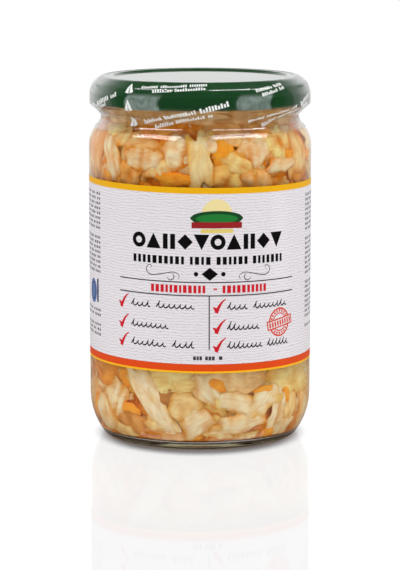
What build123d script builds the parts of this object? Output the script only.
"""Glass jar of sauerkraut: twist-off lid, clear shrink seal and a paper wrap label.

Millimetres, +Z up. The origin is on the jar's axis, on the surface that it stands on.
The front of the label faces -Y.
"""
import os
from math import cos, radians, sin, tan

from build123d import *

# ---------------------------------------------------------------- driving dimensions
# Glass body
body_diameter = 87.0
body_wall = 2.4
jar_height = 140.9          # stands to rim, without the lid
heel_setback = 5.8          # how far the foot draws in from the body
foot_diameter = body_diameter - 2 * heel_setback    # where the heel's slope would meet the table
heel_angle = 36.0           # lean of the heel's slope from upright, degrees
heel_radius = 25.5          # large curve from the body into the heel
heel_inner_radius = 14.0
foot_radius = 3.0           # small curve from the heel onto the bearing ring
foot_inner_radius = 3.5

# Base: a bearing ring round a shallow push-up
base_thickness = 3.2
push_up = 1.8
ring_width = 4.7
push_up_slope = 6.0         # from the ring's inner edge to the push-up's flat middle
ring_inner_radius = foot_diameter / 2 - ring_width
push_up_radius = ring_inner_radius - push_up_slope
push_up_fillet = 8.0
ring_fillet = 2.0

# Shoulder and neck
shoulder_setback = 4.9      # how far the neck draws in from the body
neck_diameter = body_diameter - 2 * shoulder_setback
neck_foot_drop = 16.9       # rim to where the shoulder's slope would meet the neck
shoulder_angle = 45.0       # slope of the shoulder, degrees from level
shoulder_radius = 12.3
shoulder_inner_radius = 9.5
shoulder_wall = 2.3
neck_wall = 2.2
neck_radius = 4.0           # hollow curve from the shoulder into the neck
neck_inner_radius = 5.5

# Finish: the ring under the lid, and the closed part of the mouth
finish_step = 1.1           # how far it stands out from the neck
finish_diameter = neck_diameter + 2 * finish_step
finish_height = 9.6         # below the rim
finish_slope = 0.9
finish_fillet = 0.3
rim_radius = 1.1
bead_step = 1.6
bead_diameter = neck_diameter + 2 * bead_step       # transfer bead below the lid
bead_radius = 1.0
bead_drop = 12.2            # below the rim

# Twist-off lid, one sheet of tinplate
sheet = 0.4
lid_clearance = 3.0         # between the finish and the lid's skirt
lid_diameter = finish_diameter + 2 * (lid_clearance + sheet)
lid_skirt = 10.7            # top of the ring to the lower edge
lid_corner = 2.8
panel_clearance = 1.8       # between the sunk panel and the jar's mouth
panel_depth = 1.1
panel_slope = 0.7
panel_diameter = neck_diameter - 2 * (neck_wall + panel_clearance + sheet + panel_slope)
panel_fillet = 0.5
curl_radius = 0.9
lug_count = 6
lug_arc = 20.0              # degrees of the lid's edge that each lug takes
lug_height = 0.9
lug_clearance = 0.45        # between a lug and the glass
press_depth = 0.22          # flat that closing the lug leaves on the outside
press_height = 2.4

# Clear shrink seal over the lid's edge and the neck
film = 0.12
film_top_overlap = 3.6      # how far it reaches in over the lid's top ring
film_bridge = 4.3           # drop from the lid's edge to where it meets the neck
film_shoulder = 2.7         # how far out it reaches on the shoulder
film_fold = 0.5

# Paper label
label_thickness = 0.1
label_bottom = 31.1
label_headroom = 17.0       # from its top to where the body's side would meet the shoulder's slope
label_tilt = 0.7            # stuck on a little crooked, degrees
label_lap = 11.0            # where its ends overlap at the back

# Contents
headspace = 8.3             # rim to brine

# ---------------------------------------------------------------- worked-out values
body_r = body_diameter / 2
inner_r = body_r - body_wall
neck_r = neck_diameter / 2
bore_r = neck_r - neck_wall
finish_r = finish_diameter / 2
lid_r = lid_diameter / 2
panel_r = panel_diameter / 2
foot_r = foot_diameter / 2

# The heel's inside slope runs parallel to the outside, one wall in.
heel_tan = tan(radians(heel_angle))
heel_z = (body_r - foot_r) / heel_tan
heel_shift = body_wall / cos(radians(heel_angle))
floor_corner_r = foot_r - heel_shift + base_thickness * heel_tan
inner_heel_z = base_thickness + (inner_r - floor_corner_r) / heel_tan

# So does the shoulder's.
shoulder_tan = tan(radians(shoulder_angle))
neck_z = jar_height - neck_foot_drop
shoulder_height = neck_z - (body_r - neck_r) * shoulder_tan
shoulder_shift = shoulder_wall / cos(radians(shoulder_angle))
inner_shoulder_z = shoulder_height + (body_r - inner_r) * shoulder_tan - shoulder_shift
inner_neck_z = shoulder_height + (body_r - bore_r) * shoulder_tan - shoulder_shift

finish_z = jar_height - finish_height
bead_z = jar_height - bead_drop
brine_z = jar_height - headspace
lid_top = jar_height + sheet
lid_bottom = lid_top - lid_skirt
panel_z = lid_top - panel_depth
label_height = shoulder_height - label_headroom - label_bottom


def slope_fillets(across, lean, turns, radii, shares):
    """The two fillets of a slope that spans a radial distance, each within its share.

    lean is the slope's angle from upright and turns are its corners' angles, in degrees.
    """
    run = across / sin(radians(lean))
    return [
        min(radius, share * run / tan(radians(turn / 2)))
        for turn, radius, share in zip(turns, radii, shares)
    ]


def rounded_face(profile, corners):
    """Fill a profile through (radius from axis, height, fillet) corners."""
    Polygon(*[(x, z) for x, z, _ in corners], align=None)
    for x, z, rounding in corners:
        if rounding:
            fillet(profile.vertices().sort_by_distance((x, z))[0], rounding)


def inside_corners():
    """The jar's inside, from its floor on the axis up to the neck."""
    floor = base_thickness + push_up
    return [
        (0, floor, 0),
        (push_up_radius, floor, push_up_fillet),
        (ring_inner_radius, base_thickness, ring_fillet),
        (floor_corner_r, base_thickness, inner_foot_fillet),
        (inner_r, inner_heel_z, inner_heel_fillet),
        (inner_r, inner_shoulder_z, inner_shoulder_fillet),
        (bore_r, inner_neck_z, inner_neck_fillet),
    ]


def turned_plane(angle):
    """The upright plane through the axis, turned by an angle in degrees from +X."""
    c, s = cos(radians(angle)), sin(radians(angle))
    return Plane(origin=(0, 0, 0), x_dir=(c, s, 0), z_dir=(s, -c, 0))


heel_turns = (heel_angle, 90 - heel_angle)
shoulder_turns = (90 - shoulder_angle, 90 - shoulder_angle)
heel_fillet, foot_fillet = slope_fillets(
    body_r - foot_r, heel_angle, heel_turns, (heel_radius, foot_radius), (0.84, 0.155)
)
inner_heel_fillet, inner_foot_fillet = slope_fillets(
    inner_r - floor_corner_r, heel_angle, heel_turns,
    (heel_inner_radius, foot_inner_radius), (0.7, 0.28),
)
shoulder_fillet, neck_fillet = slope_fillets(
    body_r - neck_r, 90 - shoulder_angle, shoulder_turns,
    (shoulder_radius, neck_radius), (0.74, 0.25),
)
inner_shoulder_fillet, inner_neck_fillet = slope_fillets(
    inner_r - bore_r, 90 - shoulder_angle, shoulder_turns,
    (shoulder_inner_radius, neck_inner_radius), (0.6, 0.37),
)

# ---------------------------------------------------------------- glass jar
with BuildPart() as jar:
    with BuildSketch(Plane.XZ) as glass_profile:
        rounded_face(
            glass_profile,
            [
                (0, push_up, 0),
                (push_up_radius, push_up, push_up_fillet),
                (ring_inner_radius, 0, ring_fillet),
                (foot_r, 0, foot_fillet),
                (body_r, heel_z, heel_fillet),
                (body_r, shoulder_height, shoulder_fillet),
                (neck_r, neck_z, neck_fillet),
                (neck_r, finish_z, finish_fillet),
                (finish_r, finish_z + finish_slope, finish_fillet),
                (finish_r, jar_height, rim_radius),
                (bore_r, jar_height, rim_radius),
            ]
            + inside_corners()[::-1],
        )
    revolve(axis=Axis.Z)
    with BuildSketch(Plane.XZ):
        with Locations((bead_diameter / 2 - bead_radius, bead_z)):
            Circle(bead_radius)
    revolve(axis=Axis.Z)
jar.part.label = "jar"

# ---------------------------------------------------------------- sauerkraut in brine
with BuildPart() as filling:
    with BuildSketch(Plane.XZ) as filling_profile:
        rounded_face(
            filling_profile,
            inside_corners() + [(bore_r, brine_z, 0), (0, brine_z, 0)],
        )
    revolve(axis=Axis.Z)
filling.part.label = "filling"

# ---------------------------------------------------------------- twist-off lid
curl_r = lid_r - curl_radius
lug_r = finish_r + lug_clearance
with BuildPart() as lid:
    with BuildSketch(Plane.XZ) as lid_profile:
        rounded_face(
            lid_profile,
            [
                (0, panel_z, 0),
                (panel_r, panel_z, panel_fillet),
                (panel_r + panel_slope, lid_top, panel_fillet),
                (lid_r, lid_top, lid_corner),
                (lid_r, lid_bottom + curl_radius, 0),
                (lid_r - sheet, lid_bottom + curl_radius, 0),
                (lid_r - sheet, lid_top - sheet, lid_corner - sheet),
                (panel_r + panel_slope + sheet, lid_top - sheet, panel_fillet / 2),
                (panel_r + sheet, panel_z - sheet, panel_fillet / 2),
                (0, panel_z - sheet, 0),
            ],
        )
    revolve(axis=Axis.Z)
    with BuildSketch(Plane.XZ):
        with Locations((curl_r, lid_bottom + curl_radius)):
            Circle(curl_radius)
    revolve(axis=Axis.Z)
    for number in range(lug_count):
        lug_start = number * 360 / lug_count
        with BuildSketch(turned_plane(lug_start)):
            with Locations(((lug_r + curl_r) / 2, lid_bottom + lug_height / 2 + sheet)):
                Rectangle(curl_r - lug_r, lug_height)
        revolve(axis=Axis.Z, revolution_arc=lug_arc)
    with PolarLocations(
        lid_r - press_depth + curl_radius, lug_count, start_angle=lug_arc / 2
    ):
        with Locations((0, 0, lid_bottom + press_height / 2)):
            Box(2 * curl_radius, lug_arc, press_height, mode=Mode.SUBTRACT)
lid.part.label = "lid"

# ---------------------------------------------------------------- clear shrink seal
with BuildPart() as seal_band:
    with BuildSketch(Plane.XZ):
        with BuildLine() as seal_line:
            FilletPolyline(
                (lid_r - lid_corner - film_top_overlap, lid_top),
                (lid_r, lid_top),
                (lid_r, lid_bottom),
                (neck_r, lid_bottom - film_bridge),
                (neck_r, neck_z),
                (neck_r + film_shoulder, neck_z - film_shoulder * shoulder_tan),
                radius=[lid_corner, film_fold, film_fold, neck_fillet],
            )
            offset(amount=film, side=Side.LEFT, closed=True)
        make_face()
    revolve(axis=Axis.Z)
seal_band.part.label = "seal_band"

# ---------------------------------------------------------------- paper label
label_middle = label_bottom + label_height / 2
label_slack = 2 * body_r * tan(radians(label_tilt))
with BuildPart() as label:
    with BuildSketch(Plane.XY.offset(label_bottom - label_slack)):
        Circle(body_r + label_thickness)
        Circle(body_r, mode=Mode.SUBTRACT)
        with BuildSketch(mode=Mode.PRIVATE) as lap:
            Circle(body_r + 2 * label_thickness)
            with Locations((0, body_r)):
                Rectangle(label_lap, body_r, mode=Mode.INTERSECT)
            Circle(body_r, mode=Mode.SUBTRACT)
        add(lap.sketch)
    extrude(amount=label_height + 2 * label_slack)
    with Locations((0, 0, label_middle)):
        Box(
            3 * body_r, 3 * body_r, label_height,
            rotation=(0, label_tilt, 0), mode=Mode.INTERSECT,
        )
label.part.label = "label"

# ---------------------------------------------------------------- files
os.makedirs("parts", exist_ok=True)
export_step(jar.part, "parts/jar.step")
export_step(filling.part, "parts/filling.step")
export_step(lid.part, "parts/lid.step")
export_step(seal_band.part, "parts/seal_band.step")
export_step(label.part, "parts/label.step")

for piece in (jar, filling, lid, seal_band, label):
    box = piece.part.bounding_box()
    print(
        f"{piece.part.label}: {piece.part.volume / 1000:.2f} cm3,"
        f" z {box.min.Z:.2f} to {box.max.Z:.2f}, across {box.max.X - box.min.X:.2f}"
    )
